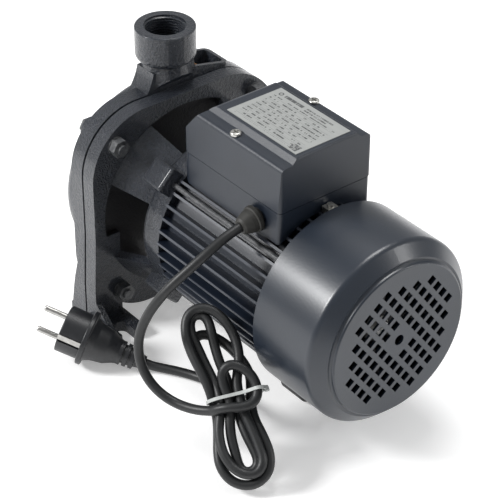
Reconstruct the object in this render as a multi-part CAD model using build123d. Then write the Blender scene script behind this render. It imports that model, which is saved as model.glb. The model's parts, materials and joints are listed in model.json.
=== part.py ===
"""Centrifugal water pump with a close-coupled single-phase motor, as an assembly of separate pieces.

Frame: millimetres, +Z up, +X from the suction port towards the fan cover. The origin is on the floor
under the middle of the pump. The motor shaft runs along X at the height AXIS_Z.
"""
import os
from math import cos, hypot, radians, sin, tan

from build123d import *

# ---- driving dimensions -------------------------------------------------------------------
AXIS_Z = 96.0  # height of the shaft above the floor
SUCTION_X = -163.0  # face of the suction port
REAR_X = 163.0  # rear face of the fan cover
PORT_X = -110.0  # axis of the discharge port
PORT_TOP_Z = 232.0  # face of the discharge port
THREAD_R = 16.6  # major radius of a G1 pipe thread
THREAD_DEPTH = 20.0
PORT_RING_R = 23.7
NECK_R = 19.0

CASE_WALL = 6.0
CASE_R = 81.0
CHAMBER_R = 75.2
CASE_FRONT_X = -147.0
SEAM_X = -100.0  # rear face of the casing flange
GASKET = 2.0
FLANGE = 14.0
PLATE_HALF = 88.5  # half width of the square flanges
PLATE_CORNER = 51.0  # corner radius of the square flanges
BOLT_CIRCLE_R = 94.0
BOLT_R = 4.0  # M8

BRACKET_X = SEAM_X + GASKET  # front face of the bracket flange
PLATE_REAR_X = -85.0
LANTERN_END_X = -52.0
HOUSING_X = -34.0
HOUSING_END_X = 96.0
FOOT_Y = 80.0  # distance of a foot slot from the middle plane
FOOT_IN_Y = 64.0
FOOT_OUT_Y = 96.0
LEG_OUT_Y = 91.0
FOOT_T = 9.0
FOOT_END_X = -58.0
SLOT_W = 11.5

HOUSING_R = 59.5
BORE_R = 55.0
FIN_R = 67.5
FIN_T = 2.0
FINS = 40
ROD_R = 2.0
ROD_CIRCLE_R = 67.0

COVER_X = 90.0
COVER_R = 74.2
COVER_T = 1.8
SHOULDER_X = 150.0
DISC_R = 61.0
VENT = 6.2
VENT_ROW_PITCH = 10.3
VENT_PITCH = 9.6
VENT_TURN = -53.0
VENT_ROWS = [4, 6, 8, 10, 10, 10, 10, 8, 6, 4]

BEARING_R = 17.5  # 6202: 15 x 35 x 11
BEARING_W = 11.0
BALL_R = 3.0
SHAFT_R = 7.5
IMPELLER_R = 62.0

BOX_X0 = -34.5
BOX_X1 = 80.0
BOX_Y = 42.5
SEAM_Z = 176.0
BOX_LOW_Z = 147.0
LEDGE_Z = 212.0
LID_Z = 217.0
PLATE_X0 = -1.8
PLATE_X1 = 75.6
PLATE_Y = 25.2
LID_SCREW_X = 22.5
LID_SCREW_Y = 36.2

CORD_R = 3.65
GLAND_BASE = Vector(54.9, -43.0, 161.6)
GLAND_TIP = Vector(54.9, -58.0, 159.0)
PLUG_FACE = Vector(-73.1, -129.8, 28.0)
PLUG_END = Vector(-21.4, -90.8, 6.4)
HANK_TOP = Vector(40.4, -81.9, 89.4)
HANK_END = Vector(140.6, -116.7, 9.4)
HANK_ACROSS = Vector(0.505, 0.813, 0.291)

NODES = {}


# ---- helpers ------------------------------------------------------------------------------
def outline(points):
    """A flat face through (u, v) points; a third number rounds that corner."""
    face = make_face(Polyline(*[(p[0], p[1]) for p in points], close=True))
    for p in points:
        if len(p) == 3:
            corner = face.vertices().sort_by_distance((p[0], p[1], 0))[0]
            face = fillet(corner, p[2])
    return face


def lift(shape):
    """Moves a shape from the shaft's own frame to its height above the floor."""
    return Pos(0, 0, AXIS_Z) * shape


def turned(points):
    """A solid of revolution about the shaft through (x, radius) points, in the shaft's frame."""
    return revolve(Plane.XZ * outline(points), Axis.X)


def barrel(x0, x1, r, y=0.0, z=0.0):
    """A cylinder along X."""
    return extrude(Plane.YZ.offset(x0) * Pos(y, z) * Circle(r), x1 - x0)


def tube(x0, x1, r_in, r_out):
    return barrel(x0, x1, r_out) - barrel(x0 - 1, x1 + 1, r_in)


def hexagon(x0, x1, flats, y=0.0, z=0.0):
    """A hexagonal prism along X, by its width across flats."""
    face = RegularPolygon(flats / 2, 6, major_radius=False)
    return extrude(Plane.YZ.offset(x0) * Pos(y, z) * face, x1 - x0)


def upright(x, y, z0, z1, r):
    return Pos(x, y, (z0 + z1) / 2) * Cylinder(r, z1 - z0)


def block(x0, x1, y0, y1, z0, z1):
    size = Box(x1 - x0, y1 - y0, z1 - z0)
    return Pos((x0 + x1) / 2, (y0 + y1) / 2, (z0 + z1) / 2) * size


def around(shape, angles):
    """Copies of a shape turned about the shaft."""
    return [Rot(a, 0, 0) * shape for a in angles]


def corners(r):
    """The four places at 45 degrees about the shaft, as (y, z)."""
    d = r * cos(radians(45))
    return [(y * d, z * d) for y in (-1, 1) for z in (-1, 1)]


def group(shapes):
    return Compound(children=list(shapes))


def square_plate(x0, x1, inset=0.0):
    half = PLATE_HALF - inset
    face = RectangleRounded(2 * half, 2 * half, PLATE_CORNER - inset)
    return extrude(Plane.YZ.offset(x0) * face, x1 - x0)


def mirrored(shape):
    """A shape and its mirror image across the middle plane."""
    return [shape, mirror(shape, Plane.XZ)]


# ---- pump end -----------------------------------------------------------------------------
def pocket_frame(height):
    """A frame on the tilted priming pocket: x along the pump, z out of the pocket."""
    tilt = radians(77.5)
    out = Vector(0, cos(tilt), sin(tilt))
    along = Vector(0, sin(tilt), -cos(tilt))
    return Plane(origin=out * height + along * 11.0 + Vector(-114.75, 0, 0), x_dir=(1, 0, 0), z_dir=out)


def neck_flare():
    """Half of the round flare under the discharge neck, as (radius, height)."""
    return make_face([
        Polyline((0, 60), (28, 60), (28, 80)),
        ThreePointArc((28, 80), (21.5, 92), (NECK_R, 108)),
        Polyline((NECK_R, 108), (0, 108), (0, 60)),
    ])


def leg_end():
    """The end view of a leg on the -Y side: its outer face leans in to meet the flange."""
    return outline([(-66, 0), (-LEG_OUT_Y, 0), (-LEG_OUT_Y, 38), (-PLATE_HALF, 84), (-66, 84)])


def casing():
    front = CASE_FRONT_X
    body = turned([(SEAM_X, 0), (SEAM_X, CASE_R), (front + 10, CASE_R, 13), (front, 60, 8),
                   (front, 25, 3), (SUCTION_X, 24), (SUCTION_X, 0)])
    body += square_plate(SEAM_X - FLANGE, SEAM_X)
    for y, z in corners(BOLT_CIRCLE_R):
        body += barrel(SEAM_X - FLANGE - 3, SEAM_X, 10.0, y, z)
    # discharge neck with its fairing, and the ring with the thread
    port_z = PORT_TOP_Z - AXIS_Z
    body += upright(PORT_X, 0, 55, port_z - 16, NECK_R)
    body += Pos(PORT_X, 0, 0) * revolve(Plane.XZ * neck_flare(), Axis.Z)
    fairing = make_face([
        Polyline((NECK_R, 104), (-NECK_R, 104)),
        ThreePointArc((-NECK_R, 104), (-27, 86), (-46, 70)),
        Line((-46, 70), (46, 70)),
        ThreePointArc((46, 70), (27, 86), (NECK_R, 104)),
    ])
    body += extrude(Plane.YZ.offset(-121) * fairing, 121 + SEAM_X)
    ring = Plane.XZ * outline([(0, port_z), (PORT_RING_R, port_z, 1.2), (PORT_RING_R, port_z - 26, 6),
                               (NECK_R - 1, port_z - 28), (0, port_z - 28)])
    body += Pos(PORT_X, 0, 0) * revolve(ring, Axis.Z)
    # the neck overhangs the bracket's flange, so its underside is cut back to the seam
    under = outline([(SEAM_X, 0), (SEAM_X, 91), (-75, 116), (-75, 0)])
    body -= extrude(Plane.XZ.offset(-30) * under, 60)
    # priming pocket
    body += extrude(pocket_frame(70) * RectangleRounded(28.5, 45, 5), 29.3)
    body -= extrude(pocket_frame(86) * RectangleRounded(22.5, 38, 3), 15)
    body -= pocket_frame(70) * Pos(0, -4, 10) * Cylinder(6.6, 30)
    # drain boss on the front wall
    body += barrel(front - 2, front + 10, 12, 0, -52)
    body = lift(body)
    # front legs
    side = outline([(SEAM_X, 0), (SEAM_X, 82), (-104, 78, 3), (-115, 29, 10), (-120, 0)])
    leg = extrude(Plane.XZ.offset(60) * side, 40) & extrude(Plane.YZ.offset(-130) * leg_end(), 40)
    pad = block(-120, SEAM_X, -LEG_OUT_Y, -FOOT_IN_Y, 0, FOOT_T)
    for piece in mirrored(leg) + mirrored(pad):
        body += piece
    # the water's way: chamber, suction thread, discharge thread, drain
    body -= lift(turned([(SEAM_X + 1, 0), (SEAM_X + 1, CHAMBER_R), (-130, CHAMBER_R, 8),
                         (front + CASE_WALL + 2, 56, 6), (front + CASE_WALL + 2, 0)]))
    body -= lift(barrel(front - 1, front + 12, 15))
    body -= lift(barrel(SUCTION_X - 1, SUCTION_X + THREAD_DEPTH, THREAD_R))
    body -= upright(PORT_X - 5, 0, AXIS_Z + 60, AXIS_Z + 102, 10)
    body -= upright(PORT_X, 0, AXIS_Z + 99, PORT_TOP_Z - 10, 13)
    body -= upright(PORT_X, 0, PORT_TOP_Z - THREAD_DEPTH, PORT_TOP_Z + 1, THREAD_R)
    body -= lift(barrel(front - 4, front + 12, 6.6, 0, -52))
    for y, z in corners(BOLT_CIRCLE_R):
        body -= lift(barrel(SEAM_X - FLANGE - 4, SEAM_X + 1, BOLT_R + 0.2, y, z))
        body -= lift(barrel(SEAM_X - 27, SEAM_X - FLANGE - 3, 9.5, y, z))
    return body


def casing_gasket():
    sheet = square_plate(SEAM_X, BRACKET_X, 3.0) - barrel(SEAM_X - 1, BRACKET_X + 1, CHAMBER_R)
    for y, z in corners(BOLT_CIRCLE_R):
        sheet -= barrel(SEAM_X - 1, BRACKET_X + 1, BOLT_R + 0.2, y, z)
    return lift(sheet)


def priming_plug():
    frame = pocket_frame(70)
    plug = frame * Pos(0, -4, 12.2) * Cylinder(6.5, 8)
    plug += extrude(frame.offset(16.1) * Pos(0, -4) * Circle(9.5), 1.4)
    plug += extrude(frame.offset(17.5) * Pos(0, -4) * RegularPolygon(7, 6, major_radius=False), 5.5)
    return lift(plug)


def drain_plug():
    plug = barrel(CASE_FRONT_X - 2, CASE_FRONT_X + 6, 6.5, 0, -52)
    plug += barrel(CASE_FRONT_X - 3.6, CASE_FRONT_X - 2, 9.5, 0, -52)
    plug += hexagon(CASE_FRONT_X - 9, CASE_FRONT_X - 3.6, 14, 0, -52)
    return lift(plug)


def casing_bolts():
    head = SEAM_X - FLANGE - 3
    return lift(group(hexagon(head - 5.3, head, 13, y, z) + barrel(head, -74.5, BOLT_R, y, z)
                      for y, z in corners(BOLT_CIRCLE_R)))


def casing_nuts():
    return lift(group(hexagon(-83.4, -77, 13, y, z) - barrel(-84, -76, BOLT_R + 0.02, y, z)
                      for y, z in corners(BOLT_CIRCLE_R)))


def casing_washers():
    return lift(group(barrel(PLATE_REAR_X, -83.4, 7.3, y, z) - barrel(-86, -83, BOLT_R + 0.2, y, z)
                      for y, z in corners(BOLT_CIRCLE_R)))


# ---- motor bracket: seal plate, open lantern, motor ring and rear feet ---------------------
def sector(x0, x1, r_in, r_out, half_angle):
    """A wedge about the shaft, centred on +Y."""
    far = r_out * 1.5
    wedge = make_face(Polyline((0, 0), (far * cos(radians(half_angle)), far * sin(radians(half_angle))),
                               (far * cos(radians(half_angle)), -far * sin(radians(half_angle))),
                               close=True))
    return extrude(Plane.YZ.offset(x0) * wedge, x1 - x0) & tube(x0, x1, r_in, r_out)


def foot():
    """One rear foot on the -Y side: the leg under the flange and the pad with its open slot."""
    leg = extrude(Plane.YZ.offset(BRACKET_X) * leg_end(), PLATE_REAR_X - BRACKET_X)
    pad = block(BRACKET_X, FOOT_END_X, -FOOT_OUT_Y, -FOOT_IN_Y, 0, FOOT_T)
    pad = fillet(pad.edges().filter_by(Axis.Z).group_by(Axis.X)[-1], 3)
    slot = upright(-68, -FOOT_Y, -1, FOOT_T + 1, SLOT_W / 2)
    slot += block(-68, FOOT_END_X + 1, -FOOT_Y - SLOT_W / 2, -FOOT_Y + SLOT_W / 2, -1, FOOT_T + 1)
    rib = extrude(Plane.XZ.offset(86.5) * outline([(PLATE_REAR_X, 8), (PLATE_REAR_X, 26), (-64, 8)]), 4.5)
    return leg + (pad - slot) + rib


def bracket():
    plate = square_plate(BRACKET_X, PLATE_REAR_X) + barrel(SEAM_X - 3, BRACKET_X + 1, 75.0)
    for y, z in corners(BOLT_CIRCLE_R):
        plate += barrel(BRACKET_X, PLATE_REAR_X, 10.0, y, z)
    shell = turned([(-90.5, 81), (LANTERN_END_X, 66), (LANTERN_END_X, 59), (-90.5, 74)])
    ring = turned([(LANTERN_END_X - 1, 57), (LANTERN_END_X - 1, 66, 2), (HOUSING_X, 66), (HOUSING_X, 57)])
    window = sector(-90, -84.9, 27, 79, 26) + sector(-85, LANTERN_END_X - 0.5, 27, 99, 25)
    hub = turned([(-91, 0), (-91, 27), (-78, 20, 2), (-78, 0)])
    body = plate + hub + shell + ring
    body -= turned([(-90, 20), (-90, 73), (-60, 56), (-60, 20)]) - turned([(-91, 0), (-91, 27), (-78, 20), (-78, 0)])
    for piece in around(window, (0, 90, 180, 270)):
        body -= piece
    # rear web with the front bearing's seat, and the spigot for the motor housing
    body += tube(-48, -40, 20, 58.5) + tube(-52, HOUSING_X - 2, 14, 25)
    body += tube(HOUSING_X - 6, HOUSING_X + 5, 49, BORE_R - 0.1) + tube(-48, HOUSING_X - 1, 48.9, 58)
    boss = block(-60, -37, -10, 10, 57, 78)
    boss = fillet(boss.edges().group_by(Axis.Z)[-1], 2.5)
    for piece in around(boss, (45, 135, 225, 315)):
        body += piece
    for y, z in corners(ROD_CIRCLE_R):
        body -= barrel(-57, HOUSING_X + 1, ROD_R + 0.1, y, z)
    # bores: bearing, seal seat and shaft
    body -= barrel(-49, HOUSING_X, BEARING_R + 0.02)
    body -= barrel(SEAM_X - 4, -95, 13)
    body -= barrel(-96, -76, 8.5)
    body = lift(body)
    for piece in mirrored(foot()):
        body += piece
    for y, z in corners(BOLT_CIRCLE_R):
        body -= lift(barrel(BRACKET_X - 1, PLATE_REAR_X + 1, BOLT_R + 0.2, y, z))
    return body


def seal_seat():
    return lift(tube(SEAM_X - 2, -95, 8.5, 12.95))


# ---- motor: stationary pieces ---------------------------------------------------------------
def housing():
    body = tube(HOUSING_X, HOUSING_END_X, BORE_R, HOUSING_R)
    fin = block(HOUSING_X, HOUSING_END_X, -FIN_T / 2, FIN_T / 2, HOUSING_R - 1, FIN_R)
    step = 360 / FINS
    fins = around(fin, [step * (k + 0.5) for k in range(FINS)])
    return lift(body + fins)


def stator_core():
    body = tube(0, 62, 30, BORE_R - 0.05)
    slot = block(-1, 63, -1.6, 1.6, 33, 44) + block(-1, 63, -0.8, 0.8, 29, 33.5)
    return lift(body - around(slot, range(0, 360, 15)))


def windings():
    bar = block(-2, 64, -1.4, 1.4, 33.3, 43.7)
    front = turned([(-22, 34, 4), (-22, 50, 6), (-0.5, 50, 4), (-0.5, 33.5), (-2, 33.3)])
    rear = turned([(62.5, 33.5), (62.5, 50, 4), (84, 50, 6), (84, 34, 4)])
    return lift(front + rear + around(bar, range(0, 360, 15)))


def rear_shield():
    body = turned([(HOUSING_END_X, 20), (HOUSING_END_X, 72.2), (104, 72.2, 1), (104, 60, 2), (101, 55, 2),
                   (101, 24, 2), (106, 24, 1), (106, 20)])
    body += tube(90, 106, 9, 24) + tube(91, HOUSING_END_X + 1, 50, BORE_R - 0.1)
    body -= barrel(89, 104.5, BEARING_R + 0.02)
    for y, z in corners(ROD_CIRCLE_R):
        body -= barrel(95, 105, ROD_R + 0.1, y, z)
    return lift(body)


def tie_rods():
    return lift(group(barrel(-56, 104, ROD_R, y, z) + hexagon(104, 107.2, 7, y, z)
                      for y, z in corners(ROD_CIRCLE_R)))


def fan_cover():
    # straight rim, rounded shoulder, cone, shallow groove and a raised flat disc
    r, t, x = COVER_R, COVER_T, SHOULDER_X
    outer = turned([(COVER_X, 0), (COVER_X, r), (x, r, 6), (REAR_X - 3.4, 64.2), (REAR_X - 3.4, 62.4),
                    (REAR_X - 2.2, 61.4), (REAR_X, DISC_R, 1.3), (REAR_X, 0)])
    inner = turned([(COVER_X - 1, 0), (COVER_X - 1, r - t), (x - 0.7, r - t, 5),
                    (REAR_X - t - 3.4, 62.3), (REAR_X - t - 2.2, 59.6), (REAR_X - t, 57), (REAR_X - t, 0)])
    shell = outer - inner
    turn = radians(VENT_TURN)
    cutter = Rectangle(VENT, VENT)
    holes = [Circle(4.2)]
    for row, count in enumerate(VENT_ROWS):
        across = (row - 4.5) * VENT_ROW_PITCH
        for k in range(count):
            along = (k - (count - 1) / 2) * VENT_PITCH
            if row in (4, 5) and abs(along) < VENT_PITCH:
                continue
            y = along * cos(turn) - across * sin(turn)
            z = along * sin(turn) + across * cos(turn)
            holes.append(Pos(y, z) * Rot(0, 0, VENT_TURN) * cutter)
    faces = Sketch() + holes
    return lift(shell - extrude(Plane.YZ.offset(REAR_X - 6) * faces, 8))


def rubber_foot():
    body = block(62, 88, -25, 25, 0, 36)
    body = fillet(body.edges().filter_by(Axis.X).group_by(Axis.Z)[0], 9)
    body = fillet(body.edges().group_by(Axis.Z)[0].filter_by(Axis.Y), 2)
    return body - lift(barrel(60, 90, FIN_R + 0.1)) - block(68, 82, -15, 15, -1, 8)


# ---- bearings -------------------------------------------------------------------------------
def bearing_outer(x):
    """Outer ring; its groove clears the balls a little."""
    body = tube(x, x + BEARING_W, 14.3, BEARING_R)
    groove = Torus(12.5, BALL_R + 0.12)
    return lift(body - Pos(x + BEARING_W / 2, 0, 0) * Rot(0, 90, 0) * groove)


def bearing_inner(x):
    body = tube(x, x + BEARING_W, SHAFT_R, 10.7)
    groove = Torus(12.5, BALL_R + 0.02)
    return lift(body - Pos(x + BEARING_W / 2, 0, 0) * Rot(0, 90, 0) * groove)


def bearing_balls(x):
    ball = Pos(x + BEARING_W / 2, 0, 12.5) * Sphere(BALL_R)
    return lift(group(around(ball, range(0, 360, 45))))


def wave_washer():
    return lift(tube(103.1, 104.3, 12, 17))


# ---- rotor ----------------------------------------------------------------------------------
def shaft():
    body = turned([(-140, 0), (-140, 4, 0.8), (-130, 4), (-130, 6), (-112, 6), (-112, 7), (-60, 7),
                   (-60, SHAFT_R), (-38, SHAFT_R), (-38, 9), (91.5, 9), (91.5, SHAFT_R), (112, SHAFT_R),
                   (112, 6), (146, 6, 1), (146, 0)])
    body -= tube(140.4, 141.8, 5.2, 8)
    return lift(body - key_way())


def key_way():
    return block(-126, -116, -1.5, 1.5, 4, 7.4)


def impeller():
    back = turned([(-124, 11), (-124, IMPELLER_R), (-121.5, IMPELLER_R), (-119, 22, 3), (-112, 14), (-112, 11)])
    front = turned([(-134, 16), (-134, IMPELLER_R), (-136, IMPELLER_R), (-137.5, 20), (-137.5, 16)])
    hub = tube(-130, -112, 6, 12) - key_way()
    vane = make_face([
        ThreePointArc((0, 17), (-22, 36), (-25, 56.3)),
        Line((-25, 56.3), (-28, 54.8)),
        ThreePointArc((-28, 54.8), (-24.6, 35), (-3, 16.5)),
        Line((-3, 16.5), (0, 17)),
    ])
    blade = extrude(Plane.YZ.offset(-134.1) * vane, 10.2)
    body = back + front + hub
    for piece in around(blade, range(0, 360, 60)):
        body += piece
    return lift(body)


def impeller_nut():
    return lift(hexagon(-137, -131.4, 13) - barrel(-140, -130, 4.02))


def impeller_washer():
    return lift(tube(-131.4, -130, 4.1, 9))


def seal_head():
    return lift(turned([(-111.9, 7), (-111.9, 13.6), (-105, 13.6), (-105, 11), (SEAM_X - 2.1, 11),
                        (SEAM_X - 2.1, 7)]))


def slinger():
    return lift(turned([(-72, 7), (-72, 11), (-69, 11), (-68, 20), (-66.5, 20), (-66.5, 7)]))


def rotor_core():
    return lift(tube(0, 62, 9, 29.6))


def rotor_cage():
    paddle = block(68, 74, -1.2, 1.2, 20, 28)
    front = tube(-6, 0, 20, 28.8)
    rear = tube(62, 68.5, 20, 28.8) + around(paddle, range(0, 360, 45))
    return lift(group([front, rear]))


def cooling_fan():
    hub = tube(117, 140.3, 6, 13)
    plate = turned([(117, 12), (117, 36), (119, 36), (121, 12)])
    blade = block(117.5, 143, -1.1, 1.1, 12, 64) - block(138, 150, -2, 2, 10, 30)
    return lift(hub + plate + around(blade, range(20, 380, 40)))


def fan_circlip():
    ring = tube(140.5, 141.7, 5.25, 8) - block(140, 142, -1.5, 1.5, 0, 9)
    return lift(ring)


# ---- terminal box ---------------------------------------------------------------------------
def box_outline(inset=0.0):
    """The box seen from above, with large corners towards the pump."""
    y = BOX_Y - inset
    return outline([(BOX_X0 + inset, -y, 9 - inset / 2), (BOX_X1 - inset, -y, 3.5), (BOX_X1 - inset, y, 3.5),
                    (BOX_X0 + inset, y, 9 - inset / 2)])


def lid_section(inset=0.0):
    """The lid's cross-section: a raised middle between two lower ledges."""
    low = SEAM_Z + (0 if inset == 0 else -1)
    y, z = BOX_Y - inset, inset
    half = [(y, low), (y - 1.5, LEDGE_Z - z, 4), (31.5 - inset, LEDGE_Z + 0.5 - z, 1.5), (27.5 - inset, LID_Z - z, 1.5)]
    return outline(half + [(-p[0], *p[1:]) for p in reversed(half)])


def lid_side(inset=0.0):
    """The lid seen from the side: the front leans back to the raised middle."""
    low = SEAM_Z + (0 if inset == 0 else -1)
    return outline([(BOX_X0 + inset, low), (BOX_X0 + inset, 190, 12), (-12 + inset, LID_Z + 0.1 - inset, 9),
                    (BOX_X1 - inset, LID_Z + 0.1 - inset, 2), (BOX_X1 - inset, low)])


def lid_solid(inset=0.0):
    z0 = SEAM_Z - (1 if inset else 0)
    body = extrude(Plane.YZ.offset(BOX_X0 - 1) * lid_section(inset), BOX_X1 - BOX_X0 + 2)
    body &= extrude(Plane.XZ.offset(-BOX_Y - 1) * lid_side(inset), 2 * BOX_Y + 2)
    return body & extrude(Plane.XY.offset(z0) * box_outline(inset), 60)


def lid_screw_places():
    return [(LID_SCREW_X, y) for y in (-LID_SCREW_Y, LID_SCREW_Y)]


def box_lid():
    body = lid_solid() - lid_solid(2.5)
    for x, y in lid_screw_places():
        body += upright(x, y * 0.985, SEAM_Z + 0.6, LEDGE_Z - 2, 4.2)
    for x, y in lid_screw_places():
        body -= upright(x, y, SEAM_Z - 1, LEDGE_Z + 1, 2.1)
    return body


def box_base():
    body = extrude(Plane.XY.offset(BOX_LOW_Z) * box_outline(0.4), SEAM_Z - 0.8 - BOX_LOW_Z)
    body -= extrude(Plane.XY.offset(167) * box_outline(3), 20)
    body -= lift(barrel(BOX_X0 - 1, BOX_X1 + 1, FIN_R + 0.1))
    pocket = block(GLAND_BASE.X - 11, GLAND_BASE.X + 11, -39.5, -31, 156, 168)
    body -= pocket
    for x, y in lid_screw_places():
        body += upright(x, y * 0.985, 160, SEAM_Z - 0.8, 4.2)
        body -= upright(x, y, 158, SEAM_Z, 2.1)
    hole = Plane(origin=GLAND_BASE + Vector(0, 8, 1), z_dir=GLAND_TIP - GLAND_BASE) * Cylinder(7.1, 24)
    return body - hole - cable_gland()


def box_gasket():
    body = extrude(Plane.XY.offset(SEAM_Z - 0.8) * box_outline(1.2), 0.8)
    body -= extrude(Plane.XY.offset(SEAM_Z - 2) * box_outline(3), 4)
    for x, y in lid_screw_places():
        body += upright(x, y * 0.985, SEAM_Z - 0.8, SEAM_Z, 4.2)
        body -= upright(x, y, SEAM_Z - 2, SEAM_Z + 2, 2.1)
    for x, y in lid_screw_places():
        body -= upright(x, y * 0.985, SEAM_Z - 0.2, SEAM_Z + 1, 6)
    return body


def lid_screws():
    def screw(x, y):
        head = upright(x, y, LEDGE_Z + 0.6, LEDGE_Z + 2.7, 4.2)
        head = fillet(head.edges().group_by(Axis.Z)[-1], 1.2)
        cross = block(x - 2.6, x + 2.6, y - 0.5, y + 0.5, LEDGE_Z + 1.4, LEDGE_Z + 3)
        cross += block(x - 0.5, x + 0.5, y - 2.6, y + 2.6, LEDGE_Z + 1.4, LEDGE_Z + 3)
        return head - cross + upright(x, y, 162, LEDGE_Z + 0.8, 2.0)
    return group(screw(x, y) for x, y in lid_screw_places())


def nameplate():
    return block(PLATE_X0, PLATE_X1, -PLATE_Y, PLATE_Y, LID_Z, LID_Z + 0.4)


def terminal_block():
    body = block(-8, 32, -30, -14, 167, 181)
    for k in range(4):
        body -= upright(-3 + 10 * k, -22, 174, 182, 3)
    return body


def terminal_screws():
    return group(upright(-3 + 10 * k, -22, 174, 179.5, 2.7) for k in range(4))


def capacitor():
    return extrude(Plane.YZ.offset(-16) * Pos(11.5, 187) * Circle(17.5), 78)


def capacitor_clip():
    ring = extrude(Plane.YZ.offset(18) * Pos(11.5, 187) * Circle(18.7), 10)
    ring -= extrude(Plane.YZ.offset(17) * Pos(11.5, 187) * Circle(17.55), 12)
    return ring + block(18, 28, 8, 18, 167, 168.5)


def earth_tab():
    body = block(81, 89.5, -4.5, 4.5, 163.8, 169)
    return body + upright(85.2, 0, 169, 171, 2.6)


# ---- cord, gland and plug -------------------------------------------------------------------
def cable_gland():
    """A tapered rubber bush, held by a groove in the box wall; it points down a little."""
    axis = (GLAND_TIP - GLAND_BASE).normalized()
    long = (GLAND_TIP - GLAND_BASE).length
    side = Plane.XZ * outline([(3.3, -4.5), (8.6, -4.5), (8.6, -3.2), (7, -3.2), (7, 0.6), (10.2, 0.6, 0.5),
                               (10.2, 4, 0.8), (9.2, 4.6), (8.6, 8, 0.6), (6.6, long - 1.5), (5.4, long), (3.3, long)])
    return Plane(origin=GLAND_BASE, z_dir=axis) * revolve(side, Axis.Z)


GLAND_OUT = (GLAND_TIP - GLAND_BASE).normalized()
PLUG_OUT = (PLUG_END - PLUG_FACE).normalized()
# The lead leaves the gland, bulges away from the motor and swings round to the waist of the hank.
LEAD = [GLAND_TIP, GLAND_TIP + GLAND_OUT * 12, (54.4, -85.0, 149.7), (51.6, -98.9, 140.3),
        (46.7, -111.0, 129.3), (41.1, -120.3, 116.6), (35.6, -127.3, 101.9), (32.1, -132.4, 85.5),
        (33.9, -135.0, 69.6), (40.3, -134.6, 55.4), (50.0, -130.8, 44.2), (61.7, -124.0, 37.1),
        (74.0, -115.9, 35.0), (85.9, -108.7, 37.7)]
# The tail runs along the floor from the plug and rises into the hank from below.
TAIL = [PLUG_END, PLUG_END + PLUG_OUT * 6.3, (-9.0, -81.5, 4.1), (2.0, -74.3, 4.1), (14.5, -68.2, 4.3),
        (28.8, -64.6, 6.2), (43.2, -64.5, 10.2), (56.8, -67.9, 16.1), (68.6, -74.1, 23.6),
        (78.4, -82.7, 32.0), (88.5, -96.4, 44.0)]


def cord_tube(points):
    """Straight runs joined by arcs as large as the runs allow; gives the tube and its radii."""
    points = [Vector(p) for p in points]
    radii = []
    for a, b, c in zip(points, points[1:], points[2:]):
        half = radians((b - a).get_angle(c - b)) / 2
        radii.append(0.45 * min((b - a).length, (c - b).length) / tan(half))
    path = FilletPolyline(*points, radius=radii)
    start = Plane(origin=path @ 0, z_dir=path % 0)
    solid = sweep(start * Circle(CORD_R), path=path)
    ratio = solid.volume / (3.14159265 * CORD_R**2 * path.length)
    print("tube", round(path.length, 1), "mm, radii", [round(r, 1) for r in radii], "volume", round(ratio, 4))
    return solid


def hank_plane():
    along = (HANK_END - HANK_TOP).normalized()
    face = along.cross(HANK_ACROSS).normalized()
    return Plane(origin=(HANK_TOP + HANK_END) / 2, x_dir=along, z_dir=face)


def cord_hank():
    """The outer shape of the folded cord: two wide loops, a tied waist and the turn wrapped round it."""
    half = (HANK_END - HANK_TOP).length / 2
    loops = outline([(-half - 3.6, -14, 8), (-half + 8, -20, 12), (-half + 34, -22.4, 14), (-8, -12.5, 20),
                     (24, -13.5, 20), (half - 30, -22.5, 14), (half - 6, -17.5, 10), (half + 3.6, -5, 8),
                     (half + 3.6, 12, 9), (half - 8, 20.5, 12), (26, 19, 20), (0, 20.5, 20), (-30, 20.6, 14),
                     (-half + 10, 15, 10), (-half - 3.6, 3, 8)])
    body = extrude(loops, 7.3, both=True)
    wrap = extrude(Pos(8, 4) * RectangleRounded(7.3, 37, 3), 11, both=True)
    return hank_plane() * (body + wrap)


def cable_tie():
    band = extrude(Pos(1, 4) * Rot(0, 0, -7) * Rectangle(3.6, 36.5), 8.6, both=True)
    band = (hank_plane() * band) - cord_hank() - cord_tube(TAIL)
    return band + hank_plane() * Pos(3.6, 24.2, -1) * Box(4.6, 5, 6)


def plug_plane():
    """Local z runs from the plug's face to its cord; local x points from pin to pin."""
    axis = (PLUG_END - PLUG_FACE).normalized()
    pins = Vector(0.125, 0.389, 0.912)
    pins = (pins - axis * pins.dot(axis)).normalized()
    return Plane(origin=PLUG_FACE, x_dir=pins, z_dir=axis)


PIN_R = 2.4
PIN_GAP = 19.0


def plug_body():
    long = (PLUG_END - PLUG_FACE).length
    side = Plane.XZ * outline([(0, 0), (18.6, 0, 1), (18.2, 18.5), (21.6, 18.5, 1), (21.6, 22.5, 1), (17.8, 22.5, 1),
                               (15.2, 28, 5), (13.6, 38, 6), (10.6, 44), (9.6, 47), (9.6, 50), (7.6, 50), (7.6, 52),
                               (9.2, 52), (9.2, 55), (7.3, 55), (7.3, 57), (8.8, 57), (8.8, 60), (6.6, 60.6),
                               (5.2, long), (0, long)])
    body = revolve(side, Axis.Z)
    for s in (-1, 1):
        body -= Pos(s * PIN_GAP / 2, 0, 3) * Cylinder(PIN_R + 0.02, 8)
        body -= Pos(0, s * 18.2, 8.5) * Box(6.4, 5, 20)
    return plug_plane() * body


def plug_pins():
    def pin(s):
        body = Pos(s * PIN_GAP / 2, 0, -6) * Cylinder(PIN_R, 26)
        return fillet(body.edges().group_by(Axis.Z)[0], 1.6)
    return plug_plane() * group(pin(s) for s in (-1, 1))


def plug_earth():
    return plug_plane() * group(Pos(0, s * 16.5, 9) * Box(4, 1.4, 18.6) for s in (-1, 1))


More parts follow.
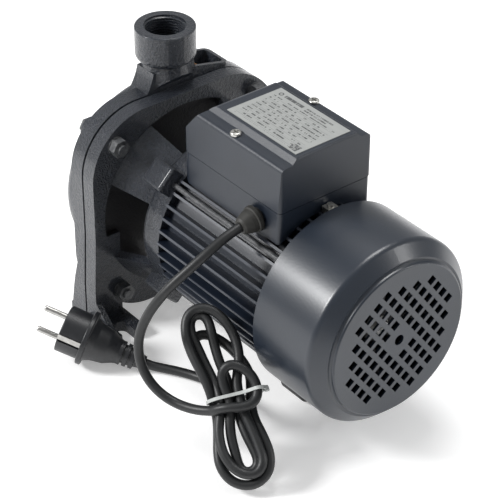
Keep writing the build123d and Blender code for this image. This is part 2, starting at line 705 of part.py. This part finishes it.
# ---- the assembly ---------------------------------------------------------------------------
NODES["pump_casing"] = casing()
NODES["casing_gasket"] = casing_gasket()
NODES["priming_plug"] = priming_plug()
NODES["drain_plug"] = drain_plug()
NODES["casing_bolts"] = casing_bolts()
NODES["casing_nuts"] = casing_nuts()
NODES["casing_washers"] = casing_washers()
NODES["motor_bracket"] = bracket()
NODES["seal_seat"] = seal_seat()
NODES["motor_housing"] = housing()
NODES["stator_core"] = stator_core()
NODES["windings"] = windings()
NODES["rear_end_shield"] = rear_shield()
NODES["tie_rods"] = tie_rods()
NODES["fan_cover"] = fan_cover()
NODES["rubber_foot"] = rubber_foot()
NODES["front_bearing_outer"] = bearing_outer(-49)
NODES["rear_bearing_outer"] = bearing_outer(92)
NODES["wave_washer"] = wave_washer()
NODES["rotor_shaft"] = shaft()
NODES["front_bearing_inner"] = bearing_inner(-49)
NODES["front_bearing_balls"] = bearing_balls(-49)
NODES["rear_bearing_inner"] = bearing_inner(92)
NODES["rear_bearing_balls"] = bearing_balls(92)
NODES["impeller"] = impeller()
NODES["impeller_key"] = lift(key_way())
NODES["impeller_nut"] = impeller_nut()
NODES["impeller_washer"] = impeller_washer()
NODES["seal_head"] = seal_head()
NODES["slinger"] = slinger()
NODES["rotor_core"] = rotor_core()
NODES["rotor_cage"] = rotor_cage()
NODES["cooling_fan"] = cooling_fan()
NODES["fan_circlip"] = fan_circlip()
NODES["terminal_box_base"] = box_base()
NODES["terminal_box_lid"] = box_lid()
NODES["box_gasket"] = box_gasket()
NODES["lid_screws"] = lid_screws()
NODES["nameplate"] = nameplate()
NODES["terminal_block"] = terminal_block()
NODES["terminal_screws"] = terminal_screws()
NODES["capacitor"] = capacitor()
NODES["capacitor_clip"] = capacitor_clip()
NODES["earth_tab"] = earth_tab()
NODES["cable_gland"] = cable_gland()
NODES["cord_lead"] = cord_tube(LEAD)
NODES["cord_hank"] = cord_hank()
NODES["cord_tail"] = cord_tube(TAIL)
NODES["cable_tie"] = cable_tie()
NODES["plug_body"] = plug_body()
NODES["plug_pins"] = plug_pins()
NODES["plug_earth"] = plug_earth()

os.makedirs("parts", exist_ok=True)
for name, shape in NODES.items():
    export_step(shape, f"parts/{name}.step")
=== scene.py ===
# %% [markdown]
# # A close-coupled water pump
# The metal and plastic solids of this pump come from its CAD model. This lesson gives them their light,
# their camera and their finishes, and it makes what the CAD solids only stand in for: the rubber cord
# with its folded hank, the tie round it and the threads in the ports. The name plate's print is a finish.

# %% Load the frame
import json
import math

import bpy
from mathutils import Matrix, Vector


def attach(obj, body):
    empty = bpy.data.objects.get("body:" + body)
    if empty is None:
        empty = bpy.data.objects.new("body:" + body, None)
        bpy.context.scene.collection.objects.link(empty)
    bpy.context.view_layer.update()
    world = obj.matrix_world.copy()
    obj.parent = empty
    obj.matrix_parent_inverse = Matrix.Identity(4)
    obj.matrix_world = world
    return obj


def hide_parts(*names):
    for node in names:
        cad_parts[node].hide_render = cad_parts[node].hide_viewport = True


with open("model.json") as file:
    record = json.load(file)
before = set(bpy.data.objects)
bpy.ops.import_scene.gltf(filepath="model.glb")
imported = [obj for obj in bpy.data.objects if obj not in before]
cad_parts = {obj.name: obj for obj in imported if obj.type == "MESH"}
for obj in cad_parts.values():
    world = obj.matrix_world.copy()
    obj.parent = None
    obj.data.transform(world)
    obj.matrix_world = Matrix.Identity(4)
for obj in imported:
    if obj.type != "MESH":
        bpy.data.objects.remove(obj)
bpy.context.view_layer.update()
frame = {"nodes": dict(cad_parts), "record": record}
AXIS_Z = 0.096

# %% [markdown]
# ## Camera
# A long lens stands above the fan end and looks back along the pump, so the motor comes towards us and
# the ports stand behind it. The three directions of the camera are written as a matrix, which is the
# plainest way to give a camera its place and its small roll at once.

# %% Camera
camera = bpy.data.objects.new("camera", bpy.data.cameras.new("camera"))
bpy.context.scene.collection.objects.link(camera)
camera.data.lens = 141.74
camera.data.sensor_width = 36.0
camera.data.clip_start = 0.05
camera.data.clip_end = 20.0
right = Vector((0.62376, 0.78161, 0.00382))
up = Vector((-0.44756, 0.35315, 0.82157))
back = right.cross(up)
turn = Matrix((right, up, back)).transposed().to_4x4()
camera.matrix_world = Matrix.Translation((0.960267, -0.775318, 0.940974)) @ turn
bpy.context.scene.camera = camera
print("camera", [round(value, 3) for value in camera.matrix_world.translation])

# %% [markdown]
# ## Light and floor
# A pale studio: a soft light high on the left shapes the fins and the box, a wide one hangs above the far
# side, and a weak one fills the fan end. An even grey surround and a slight glow of its own keep the floor
# nearly white. The floor is one large plane, not attached to the pump.


# %% Light and floor
PUMP_MIDDLE = Vector((0, 0, 0.1))
FAN_MIDDLE = Vector((0.1, 0, 0.1))
FLOOR_SIZE = 8
FLOOR_GAP = 0.0004


def soft_light(name, place, aim, size, power):
    """A round area light at a place, turned to its aim."""
    lamp = bpy.data.objects.new(name, bpy.data.lights.new(name, "AREA"))
    bpy.context.scene.collection.objects.link(lamp)
    lamp.data.shape = "DISK"
    lamp.data.size = size
    lamp.data.energy = power
    lamp.location = place
    lamp.rotation_euler = (aim - Vector(place)).to_track_quat("-Z", "Y").to_euler()


soft_light("key", (-0.9, -1.5, 1.3), PUMP_MIDDLE, 0.6, 40)
soft_light("top", (-0.3, 0.5, 1.9), PUMP_MIDDLE, 0.9, 20)
soft_light("fan_strip", (1.2, 1.1, 0.9), FAN_MIDDLE, 0.5, 7)
world = bpy.data.worlds.new("studio")
world.use_nodes = True
world.node_tree.nodes["Background"].inputs["Color"].default_value = (1, 1, 1, 1)
world.node_tree.nodes["Background"].inputs["Strength"].default_value = 0.42
bpy.context.scene.world = world
bpy.context.scene.view_settings.view_transform = "Standard"
bpy.ops.object.select_all(action="DESELECT")
bpy.ops.mesh.primitive_plane_add(size=FLOOR_SIZE, location=(0, 0, -FLOOR_GAP))
floor = bpy.context.object
floor.name = "studio_floor"
paper = bpy.data.materials.new("paper")
paper.use_nodes = True
sheet_shader = paper.node_tree.nodes["Principled BSDF"]
sheet_shader.inputs["Base Color"].default_value = (0.9, 0.9, 0.9, 1)
sheet_shader.inputs["Roughness"].default_value = 0.8
sheet_shader.inputs["Emission Color"].default_value = (1, 1, 1, 1)
sheet_shader.inputs["Emission Strength"].default_value = 0.3
floor.data.materials.append(paper)
print("floor", floor.name, FLOOR_SIZE, "m across")

# %% [markdown]
# ## Finishes
# A finish here is a node tree. To keep its maths readable, a small class wraps one output of a node and
# lends it the usual signs, so `1 - mask` adds its own Math node. Every other node comes from one method
# that takes the node's type, its settings and the values or links of its sockets.


# %% Shader helper
class Wire:
    """One output of a shader node, with the usual signs."""

    def __init__(self, finish, socket):
        self.finish = finish
        self.socket = socket

    def sums(self, sign, *values):
        return self.finish.node("ShaderNodeMath", {"operation": sign}, dict(enumerate(values)))

    def __add__(self, other):
        return self.sums("ADD", self, other)

    def __sub__(self, other):
        return self.sums("SUBTRACT", self, other)

    def __rsub__(self, other):
        return self.sums("SUBTRACT", other, self)

    def __mul__(self, other):
        return self.sums("MULTIPLY", self, other)

    def __pow__(self, other):
        return self.sums("POWER", self, other)

    def __gt__(self, other):
        return self.sums("GREATER_THAN", self, other)

    def __lt__(self, other):
        return self.sums("LESS_THAN", self, other)

    __radd__ = __add__
    __rmul__ = __mul__


class Finish:
    """A material with one shader, built from expressions."""

    def __init__(self, name):
        self.material = bpy.data.materials.new(name)
        self.material.use_nodes = True
        self.tree = self.material.node_tree
        self.shader = self.tree.nodes["Principled BSDF"]
        self.place = self.node("ShaderNodeTexCoord", out="Object")

    def node(self, kind, settings=None, inputs=None, out=0):
        made = self.tree.nodes.new(kind)
        for name, value in (settings or {}).items():
            setattr(made, name, value)
        for name, value in (inputs or {}).items():
            self.feed(made.inputs[name], value)
        return Wire(self, made.outputs[out])

    def feed(self, socket, value):
        if isinstance(value, Wire):
            self.tree.links.new(value.socket, socket)
        elif isinstance(value, tuple) and len(value) == 3 and socket.type == "RGBA":
            socket.default_value = (*value, 1)
        else:
            socket.default_value = value

    def noise(self, size, detail=2.0, rough=0.5, stretch=None):
        """Noise whose lumps are about that size in metres; stretch draws it out along an axis."""
        where = self.place
        if stretch:
            where = self.node("ShaderNodeMapping", {}, {"Vector": where, "Scale": stretch})
        return self.node("ShaderNodeTexNoise", {}, {"Vector": where, "Scale": 1 / size, "Detail": detail,
                                                    "Roughness": rough}, "Fac")

    def ramp(self, wire, low, high):
        """0 below low, 1 above high."""
        return self.node("ShaderNodeMapRange", {}, {"Value": wire, "From Min": low, "From Max": high})

    def mix(self, mask, first, second):
        return self.node("ShaderNodeMix", {"data_type": "RGBA"}, {0: mask, 6: first, 7: second}, 2)

    def bump(self, height, depth, strength=1.0):
        """Relief of that depth in metres."""
        return self.node("ShaderNodeBump", {}, {"Strength": strength, "Distance": depth, "Height": height})

    def axes(self):
        """The point's own x, y and z."""
        return [self.node("ShaderNodeSeparateXYZ", {}, {"Vector": self.place}, out) for out in "XYZ"]

    def radius(self):
        """Distance from the shaft."""
        x, y, z = self.axes()
        z = z - AXIS_Z
        return (y * y + z * z) ** 0.5

    def surface(self, **values):
        for name, value in values.items():
            self.feed(self.shader.inputs[name.replace("_", " ")], value)
        return self.material


# %% [markdown]
# ### Paint on castings
# The casing and the bracket are sand-cast iron: the paint lies over a pebbly skin, so it breaks the light
# into small glints. A coarse noise gives the pebbles, a finer one the grain between them, and where the
# pebbles stand proud the paint is a little paler. The web inside the lantern is smooth, and a painted shade
# makes it nearly black; the bracket's arms are rougher, and a few pale chips show the metal.


# %% Paint finishes
WEB_FACE = -0.0858
WEB_BACK = -0.112
WEB_RADIUS = 0.080
ARMS_END = -0.045


def cast_paint():
    """Glossy paint over a sand-cast skin."""
    finish = Finish("cast_paint")
    pebbles = finish.noise(0.0022, 3, 0.6)
    grain = finish.noise(0.0007, 2)
    cloud = finish.noise(0.03, 2)
    tone = finish.mix(finish.ramp(pebbles, 0.42, 0.72), (0.006, 0.009, 0.016), (0.017, 0.023, 0.035))
    tone = finish.mix(finish.ramp(cloud, 0.35, 0.7) * 0.35, tone, (0.016, 0.020, 0.026))
    x = finish.axes()[0]
    # Painted shade: the web deep inside the lantern, where shade falls, is darkened nearly to black.
    shaded_web = (x < WEB_FACE) * (x > WEB_BACK) * (finish.radius() < WEB_RADIUS)
    tone = finish.mix(shaded_web * 0.85, tone, (0.009, 0.0078, 0.0075))
    arms = (x > WEB_FACE) * (x < ARMS_END)
    chips = (finish.noise(0.0035, 4, 0.7) > 0.735) * (1 - shaded_web)
    tone = finish.mix(chips * 0.6, tone, (0.22, 0.22, 0.21))
    height = (pebbles * 0.8 + grain * 0.3) * (1 - 0.85 * shaded_web) * (1 + 0.5 * arms)
    return finish.surface(Base_Color=tone, Roughness=0.24 + 0.2 * grain, Coat_Weight=0.5, Coat_Roughness=0.14,
                          Normal=finish.bump(height, 0.0026, 1.0))


def motor_paint():
    """Smooth paint on the fins, with a painted highlight along their tips."""
    finish = Finish("motor_paint")
    grain = finish.noise(0.0009, 2)
    cloud = finish.noise(0.025, 3, 0.6, (0.35, 1, 1))
    # Painted highlight: the fin tips are made paler, where their edges catch the light.
    tip_highlight = finish.ramp(finish.radius() + 0.0006 * grain, 0.0668, 0.0674)
    tone = finish.mix(finish.ramp(cloud, 0.35, 0.75), (0.005, 0.009, 0.017), (0.009, 0.014, 0.025))
    tone = finish.mix(tip_highlight * 0.6, tone, (0.045, 0.052, 0.068))
    return finish.surface(Base_Color=tone, Roughness=0.32 + 0.15 * grain, Coat_Weight=0.1, Coat_Roughness=0.2,
                          Normal=finish.bump(grain, 0.0003, 0.35))


def cover_paint():
    """Even satin paint on pressed steel, with a very fine orange peel."""
    finish = Finish("cover_paint")
    peel = finish.noise(0.0016, 2)
    cloud = finish.noise(0.05, 2)
    tone = finish.mix(finish.ramp(cloud, 0.3, 0.7), (0.008, 0.013, 0.022), (0.011, 0.017, 0.028))
    return finish.surface(Base_Color=tone, Roughness=0.34 + 0.06 * peel, Coat_Weight=0.35, Coat_Roughness=0.22,
                          Normal=finish.bump(peel, 0.00012, 0.4))


def box_plastic():
    """Moulded plastic with a fine spark-eroded texture."""
    finish = Finish("box_plastic")
    grain = finish.noise(0.0008, 3, 0.6)
    cloud = finish.noise(0.04, 2)
    tone = finish.mix(finish.ramp(cloud, 0.3, 0.7), (0.006, 0.010, 0.018), (0.009, 0.014, 0.024))
    return finish.surface(Base_Color=tone, Roughness=0.36 + 0.14 * grain, Coat_Weight=0.1, Coat_Roughness=0.3,
                          Normal=finish.bump(grain, 0.00025, 0.5))


# %% [markdown]
# ### Bare metals
# Zinc plate is dull and slightly mottled, ground steel has fine rings round its axis, and machined brass
# is warm and brighter. Each is one shader with its own noise, so one function makes them all.


# %% Metal finishes
def bare_metal(name, dark, light, rough, size=0.004, stretch=None, depth=0.00008, metal=1.0):
    finish = Finish(name)
    mottle = finish.noise(size, 4, 0.6, stretch)
    fine = finish.noise(size / 6, 2, 0.5, stretch)
    tone = finish.mix(finish.ramp(mottle, 0.3, 0.7), dark, light)
    return finish.surface(Base_Color=tone, Metallic=metal, Roughness=rough + 0.2 * fine,
                          Normal=finish.bump(fine, depth, 0.5))


# %% [markdown]
# ### Rubber and plastics
# The cord and the plug are soft dark rubber with a low sheen; dust lies on them in faint pale patches.


# %% Rubber and plastic finishes
def moulded(name, dark, light, rough, size=0.006, depth=0.0001, coat=0.0, sheen=0.0):
    finish = Finish(name)
    patch = finish.noise(size, 3, 0.6)
    grain = finish.noise(size / 9, 2)
    tone = finish.mix(finish.ramp(patch, 0.35, 0.7), dark, light)
    return finish.surface(Base_Color=tone, Roughness=rough + 0.16 * grain, Coat_Weight=coat,
                          Coat_Roughness=0.3, Sheen_Weight=sheen, Normal=finish.bump(grain, depth, 0.5))


def lamination():
    """Stacked steel sheets show as fine lines round the stack, 1 mm apart."""
    finish = Finish("lamination")
    x = finish.axes()[0]
    turns = x * (2 * math.pi / 0.001)
    sheet = turns.sums("SINE", turns)
    mottle = finish.noise(0.006, 3)
    tone = finish.mix(finish.ramp(mottle, 0.3, 0.7), (0.10, 0.10, 0.11), (0.20, 0.20, 0.21))
    return finish.surface(Base_Color=tone, Metallic=0.9, Roughness=0.45 + 0.1 * mottle,
                          Normal=finish.bump(sheet, 0.0001, 0.5))


# %% [markdown]
# ### Name plate
# The plate's print is worked out from the place on the plate: rows of plain dashes under a heading, with a
# ring and a small chequered block. Nothing on it can be read.


# %% Name plate finish
ROW = 0.0042


def printed_plate():
    """Pale aluminium printed with ruled rows of plain dashes, a round mark and a small block."""
    finish = Finish("printed_plate")
    x, y, z = finish.axes()
    rows = y * (1 / ROW)
    place = rows.sums("FRACT", rows + 20)
    row = rows.sums("FLOOR", rows)

    def dashes(size, share):
        where = finish.node("ShaderNodeCombineXYZ", {}, {"X": x * (1 / size), "Y": row * 7.3})
        settings = {"Vector": where, "Scale": 1.0, "Detail": 0.0}
        return finish.node("ShaderNodeTexNoise", {}, settings, "Fac") > share

    def block(x0, x1, y0, y1):
        return (x > x0) * (x < x1) * (y > y0) * (y < y1)

    print_area = block(0.003, 0.070, -0.0225, 0.0152)
    small = (place > 0.36) * (place < 0.70) * dashes(0.0045, 0.46) * dashes(0.0007, 0.42) * print_area
    ruled = (place < 0.055) * print_area * 0.6
    header = block(0.010, 0.030, 0.0182, 0.0212) * dashes(0.0011, 0.36)
    header = header + block(0.033, 0.062, 0.0196, 0.0211) * dashes(0.0007, 0.42)
    header = header + block(0.033, 0.058, 0.0168, 0.0183) * dashes(0.0007, 0.42)
    spot = ((x - 0.0055) ** 2 + (y - 0.0195) ** 2) ** 0.5
    mark = (spot < 0.0021) * (spot > 0.0011)
    badge = block(0.0645, 0.0725, -0.0235, -0.0165)
    checks = finish.noise(0.0016, 0) > 0.5
    ink = (small + ruled) * (1 - badge) + header + mark + badge * (0.35 + 0.65 * checks)
    cloud = finish.noise(0.02, 3, 0.6, (1, 6, 1))
    tone = finish.mix(cloud, (0.27, 0.28, 0.275), (0.34, 0.35, 0.34))
    tone = finish.mix(finish.ramp(ink, 0, 1) * 0.85, tone, (0.035, 0.036, 0.040))
    return finish.surface(Base_Color=tone, Metallic=0.25, Roughness=0.42 + 0.1 * cloud)


# %% Every finish by its slot
finishes = {
    "cast_paint": cast_paint(),
    "motor_paint": motor_paint(),
    "cover_paint": cover_paint(),
    "box_plastic": box_plastic(),
    "lamination": lamination(),
    "steel": bare_metal("steel", (0.40, 0.40, 0.38), (0.62, 0.61, 0.58), 0.24),
    "painted_hardware": moulded("painted_hardware", (0.020, 0.023, 0.027), (0.09, 0.092, 0.095), 0.26, 0.003,
                                0.0006, 0.3),
    "shaft_steel": bare_metal("shaft_steel", (0.5, 0.5, 0.5), (0.66, 0.66, 0.66), 0.16, 0.002, (6, 1, 1)),
    "cast_aluminium": bare_metal("cast_aluminium", (0.42, 0.43, 0.44), (0.6, 0.6, 0.61), 0.42),
    "brass": bare_metal("brass", (0.48, 0.21, 0.06), (0.68, 0.36, 0.13), 0.26),
    "plated": bare_metal("plated", (0.36, 0.355, 0.34), (0.50, 0.495, 0.48), 0.22),
    "winding": moulded("winding", (0.25, 0.07, 0.02), (0.42, 0.14, 0.04), 0.3, 0.002, 0.0004),
    "seal_rubber": moulded("seal_rubber", (0.012, 0.012, 0.013), (0.022, 0.022, 0.023), 0.5),
    "gasket": moulded("gasket", (0.012, 0.012, 0.012), (0.02, 0.02, 0.02), 0.7),
    "ceramic": moulded("ceramic", (0.6, 0.58, 0.52), (0.7, 0.68, 0.62), 0.25),
    "fan_plastic": moulded("fan_plastic", (0.012, 0.012, 0.014), (0.02, 0.02, 0.022), 0.4),
    "gland_rubber": moulded("gland_rubber", (0.017, 0.017, 0.015), (0.029, 0.028, 0.025), 0.5, 0.004),
    "cord_rubber": moulded("cord_rubber", (0.007, 0.008, 0.009), (0.012, 0.013, 0.014), 0.38, 0.009, 0.00012),
    "plug_rubber": moulded("plug_rubber", (0.008, 0.009, 0.011), (0.014, 0.015, 0.018), 0.34, 0.008, 0.00012,
                           0.1),
    "nylon": moulded("nylon", (0.42, 0.44, 0.43), (0.52, 0.54, 0.53), 0.3, 0.003),
    "capacitor_white": moulded("capacitor_white", (0.6, 0.6, 0.58), (0.68, 0.68, 0.66), 0.4),
    "terminal_plastic": moulded("terminal_plastic", (0.55, 0.5, 0.4), (0.64, 0.6, 0.5), 0.4),
    "plate": printed_plate(),
}
for part in frame["record"]["subparts"]:
    node = frame["nodes"][part["node"]]
    node.data.materials.clear()
    node.data.materials.append(finishes[part["material_slot"]])
print("finishes", len(finishes))

# %% [markdown]
# ## Cord
# The rubber mains cord is one length of about 1.25 m. It leaves the gland on the terminal box, swings out
# and down to the waist of a tied hank, passes over the waist, makes three loops up and three down, and then
# runs along the floor to its plug. It is drawn as one smooth spline whose points are listed, those of
# the hank in the hank's own plane.

# %% Cord route
CORD_R = 0.00365
GLAND_BASE = Vector((0.0549, -0.0430, 0.1616))
GLAND_TIP = Vector((0.0549, -0.0580, 0.1590))
GLAND_OUT = (GLAND_TIP - GLAND_BASE).normalized()
PLUG_FACE = Vector((-0.0731, -0.1298, 0.0280))
PLUG_END = Vector((-0.0214, -0.0908, 0.0064))
PLUG_OUT = (PLUG_END - PLUG_FACE).normalized()
HANK_TOP = Vector((0.0404, -0.0819, 0.0894))
HANK_END = Vector((0.1406, -0.1167, 0.0094))
hank_mid = (HANK_TOP + HANK_END) / 2
hank_along = (HANK_END - HANK_TOP).normalized()
hank_face = hank_along.cross(Vector((0.505, 0.813, 0.291))).normalized()
hank_across = hank_face.cross(hank_along)

lead = [GLAND_TIP, GLAND_TIP + GLAND_OUT * 0.012, (0.0544, -0.0850, 0.1497), (0.0516, -0.0989, 0.1403),
        (0.0467, -0.1110, 0.1293), (0.0411, -0.1203, 0.1166), (0.0356, -0.1273, 0.1019),
        (0.0321, -0.1324, 0.0855), (0.0339, -0.1350, 0.0696), (0.0403, -0.1346, 0.0554),
        (0.0508, -0.1314, 0.0449), (0.0636, -0.1256, 0.0388), (0.0790, -0.1199, 0.0394),
        (0.0926, -0.1141, 0.0437)]
tail = [PLUG_END, PLUG_END + PLUG_OUT * 0.0063, (-0.0090, -0.0815, 0.0041), (0.0020, -0.0743, 0.0041),
        (0.0145, -0.0682, 0.0043), (0.0288, -0.0646, 0.0062), (0.0432, -0.0645, 0.0102),
        (0.0568, -0.0679, 0.0161), (0.0686, -0.0741, 0.0236), (0.0784, -0.0827, 0.0320),
        (0.0885, -0.0964, 0.0440)]


def in_hank(s, w, h):
    """A point of the hank from millimetres along it, across it and out of its plane."""
    return hank_mid + (hank_along * s + hank_across * w + hank_face * h) / 1000


# The lead crosses the waist and folds back over it, and tucks in under itself. Three upper and three lower
# loops of different sizes follow, and the last strand dives behind the hank to the tail. Each row gives a
# point along, across and out of the hank, in millimetres.
over_waist = [(9.8, -8, 8.4), (10.8, -2.6, 10.7), (12, 3.2, 11.4), (13.8, 9.5, 11.4), (14, 17, 10.6),
              (9.5, 23, 9.4), (1, 24.6, 9.2), (-8, 22.6, 10), (-15.5, 16.5, 11.2), (-18.8, 9, 11.3),
              (-15, 2.6, 9.8), (-7, 1.4, 6.8), (2, 2.5, 4.3)]
narrow_lower = [(11, 1.4, 3.7), (20, -1.8, 3), (31, -4, 1.5), (42, -4.2, 0.5), (50.5, -4.4, 0), (56, -2.6, 0),
                (58.6, 2.8, 0), (56, 8.3, 0), (50.5, 10.3, 0), (42, 9, 0), (33, 7, 0), (20, 5.4, -1)]
inner_upper = [(9, 5.5, -2.8), (-1, 5, -3.3), (-13, 3.5, -2), (-26, 2, -0.5), (-38, 1.8, 0), (-49, 2.4, 0),
               (-56, 2.4, 0), (-61.6, 0.2, 0), (-63.9, -4.9, -0.3), (-61.6, -10, -0.6), (-55.5, -12.2, -0.8),
               (-48, -12, -1), (-39, -10.4, -1.5),
               (-26, -8.4, -1.8), (-14, -5.8, -1.4), (-3, -4.2, 0)]
middle_lower = [(8, -5, 2.6), (17, -8.5, 4.2), (27, -11.8, 4.6), (40, -12.4, 5), (52.5, -8.6, 5), (60.5, -0.5, 5),
                (61.4, 8.6, 5), (54.5, 14.4, 4.8), (43.5, 13.8, 4.5), (30.5, 12.3, 4.3), (18.5, 10.3, 4.2),
                (8, 9.8, 4)]
wide_upper = [(-2, 10, 3.9), (-10, 11.8, 4), (-21, 17, 4), (-34, 18.6, 4), (-46.5, 16.6, 4), (-57.5, 12, 4),
              (-65.3, 4.5, 4), (-67.3, -4.5, 4), (-62.5, -12.6, 4), (-50.5, -16.2, 4), (-36, -15.4, 4),
              (-21, -12.2, 3.5), (-9, -10, 2)]
wide_lower = [(2, -10, -1), (13, -10.4, -4), (25, -13, -3.5), (38, -16.4, -1), (49, -17.3, 0), (60, -13, 0),
              (66.8, -4, 0), (67.6, 6.5, 0), (61.5, 16, 0), (50, 19.8, 0), (36, 18.2, -0.5), (22, 15, -2.5),
              (10, 15.6, -3.7)]
low_upper = [(0, 18.5, -3.8), (-10, 20.8, -4), (-20, 18.6, -4.5), (-31, 14, -5.5), (-40.5, 7.5, -7),
             (-48, 0, -8.3), (-51, -7.5, -8.6), (-47.5, -14.2, -8), (-39, -16, -7), (-29, -14.5, -7),
             (-19, -11.5, -9), (-11.5, -8, -13.5), (-7, -5.5, -19.5)]
hank = over_waist + narrow_lower + inner_upper + middle_lower + wide_upper + wide_lower + low_upper
route = [Vector(point) for point in lead]
route += [in_hank(*point) for point in hank]
route += [Vector(point) for point in reversed(tail[:-1])]


def cord_curve(name, points, radius):
    """An open smooth spline with a round section."""
    curve = bpy.data.curves.new(name, "CURVE")
    curve.dimensions = "3D"
    spline = curve.splines.new("NURBS")
    spline.points.add(len(points) - 1)
    for spot, point in zip(spline.points, points):
        spot.co = (*point, 1)
        spot.radius = radius
    spline.order_u = 3
    spline.use_endpoint_u = True
    spline.resolution_u = 6
    curve.bevel_depth = 1.0  # times each point's radius; a radius of 1 m would swell the bounding box
    curve.bevel_resolution = 5
    curve.use_fill_caps = True
    piece = bpy.data.objects.new(name, curve)
    bpy.context.scene.collection.objects.link(piece)
    return piece


cord = cord_curve("mains_cord", route, CORD_R)
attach(cord, "pump")
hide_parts("cord_lead", "cord_hank", "cord_tail")
cord.data.materials.append(finishes["cord_rubber"])
print("route points", len(route))

# %% [markdown]
# ## Tie
# A thin nylon tie holds the waist. Its band follows the bundle under it, so its loop is listed in
# the plane across the hank; a torus gives the closed ring of quads, and each of its rings is then placed.

# %% Tie
tie_loop = [(-14.5, -1), (-12.5, 4.5), (-7, 7.8), (0, 8.6), (7, 8.6), (14, 9.2), (20, 11.5), (25.5, 13.4),
            (29.6, 9.5), (28, 2), (23.5, -5), (16, -8.6), (6, -8.6), (-5, -8.4), (-11.5, -6)]
TIE_WIDTH = 2.4
TIE_THICK = 1.1
TIE_LEVEL = 2.4
TIE_TILT = 0.06
STEPS = 4


def round_loop(points, steps):
    """Points on a smooth closed loop through the given ones."""
    count = len(points)
    made = []
    for k in range(count):
        a, b, c, d = (Vector(points[(k + shift) % count]) for shift in (-1, 0, 1, 2))
        for step in range(steps):
            t = step / steps
            made.append(((2 * b) + (c - a) * t + (2 * a - 5 * b + 4 * c - d) * t ** 2
                         + (3 * b - a - 3 * c + d) * t ** 3) / 2)
    return made


ring = round_loop(tie_loop, STEPS)
bpy.ops.object.select_all(action="DESELECT")
bpy.ops.mesh.primitive_torus_add(major_segments=len(ring), minor_segments=4, major_radius=0.02,
                                 minor_radius=0.002)
tie = bpy.context.object
tie.name = "tie_band"
corners = [(0.5, 0.5), (0.5, -0.5), (-0.5, -0.5), (-0.5, 0.5)]
for number, vertex in enumerate(tie.data.vertices):
    k, corner = divmod(number, 4)
    w, h = ring[k]
    along_ring = (ring[(k + 1) % len(ring)] - ring[k - 1]).normalized()
    out, side = corners[corner]
    w_out, h_out = -along_ring.y * out * TIE_THICK, along_ring.x * out * TIE_THICK
    vertex.co = in_hank(TIE_LEVEL + TIE_TILT * w + side * TIE_WIDTH, w + w_out, h + h_out)
bpy.ops.mesh.primitive_cube_add(size=1)
head = bpy.context.object
head.dimensions = (0.0042, 0.0036, 0.0046)
bpy.ops.object.transform_apply(location=False, rotation=False, scale=True)
bevel = head.modifiers.new("bevel", "BEVEL")
bevel.width = 0.0006
bevel.segments = 2
bpy.ops.object.modifier_apply(modifier="bevel")
head.matrix_world = (Matrix.Translation(in_hank(4.4, 30, 3.5))
                     @ Matrix((hank_along, hank_across, hank_face)).transposed().to_4x4())
tie.select_set(True)
bpy.context.view_layer.objects.active = tie
bpy.ops.object.join()
bpy.ops.object.mode_set(mode="EDIT")
bpy.ops.mesh.select_all(action="SELECT")
bpy.ops.mesh.normals_make_consistent(inside=False)
bpy.ops.object.mode_set(mode="OBJECT")
bpy.ops.object.transform_apply(location=True, rotation=True, scale=True)
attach(tie, "pump")
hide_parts("cable_tie")
tie.data.materials.append(finishes["nylon"])
print("tie faces", len(tie.data.polygons))

# %% [markdown]
# ## Pipe threads
# Each port has eight turns of thread. One closed trapezoid is screwed round the port's axis by the Screw
# modifier, and its two open ends are filled.

# %% Pipe threads
THREAD_PITCH = 0.002309
THREAD_ROOT = 0.01685
THREAD_CREST = 0.0154
trapezoid = [(THREAD_ROOT, 0.0), (THREAD_CREST, 0.0008), (THREAD_ROOT, 0.0021), (THREAD_CREST, 0.0013)]


def pipe_thread(name, start, tilt):
    """A thread that starts at a point of the port's axis; tilt turns its axis from z."""
    bpy.ops.object.select_all(action="DESELECT")
    bpy.ops.mesh.primitive_plane_add(size=1)
    thread = bpy.context.object
    thread.name = name
    for vertex, (out, rise) in zip(thread.data.vertices, trapezoid):
        vertex.co = (out, 0, rise)
    bpy.ops.object.mode_set(mode="EDIT")
    bpy.ops.mesh.select_all(action="SELECT")
    bpy.ops.mesh.delete(type="ONLY_FACE")
    bpy.ops.object.mode_set(mode="OBJECT")
    screw = thread.modifiers.new("screw", "SCREW")
    screw.screw_offset = THREAD_PITCH
    screw.iterations = 8
    screw.steps = 48
    screw.use_smooth_shade = False
    bpy.ops.object.modifier_apply(modifier="screw")
    bpy.ops.object.mode_set(mode="EDIT")
    bpy.ops.mesh.select_all(action="SELECT")
    bpy.ops.mesh.fill_holes(sides=4)
    bpy.ops.mesh.normals_make_consistent(inside=False)
    bpy.ops.object.mode_set(mode="OBJECT")
    thread.location = start
    thread.rotation_euler = (0, tilt, 0)
    bpy.ops.object.transform_apply(location=True, rotation=True, scale=True)
    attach(thread, "pump")
    thread.data.materials.append(finishes["cast_paint"])
    return thread


threads = [pipe_thread("discharge_thread", (-0.110, 0, 0.2112), 0),
           pipe_thread("suction_thread", (-0.1422, 0, AXIS_Z), -math.pi / 2)]
print("threads", [len(thread.data.polygons) for thread in threads])
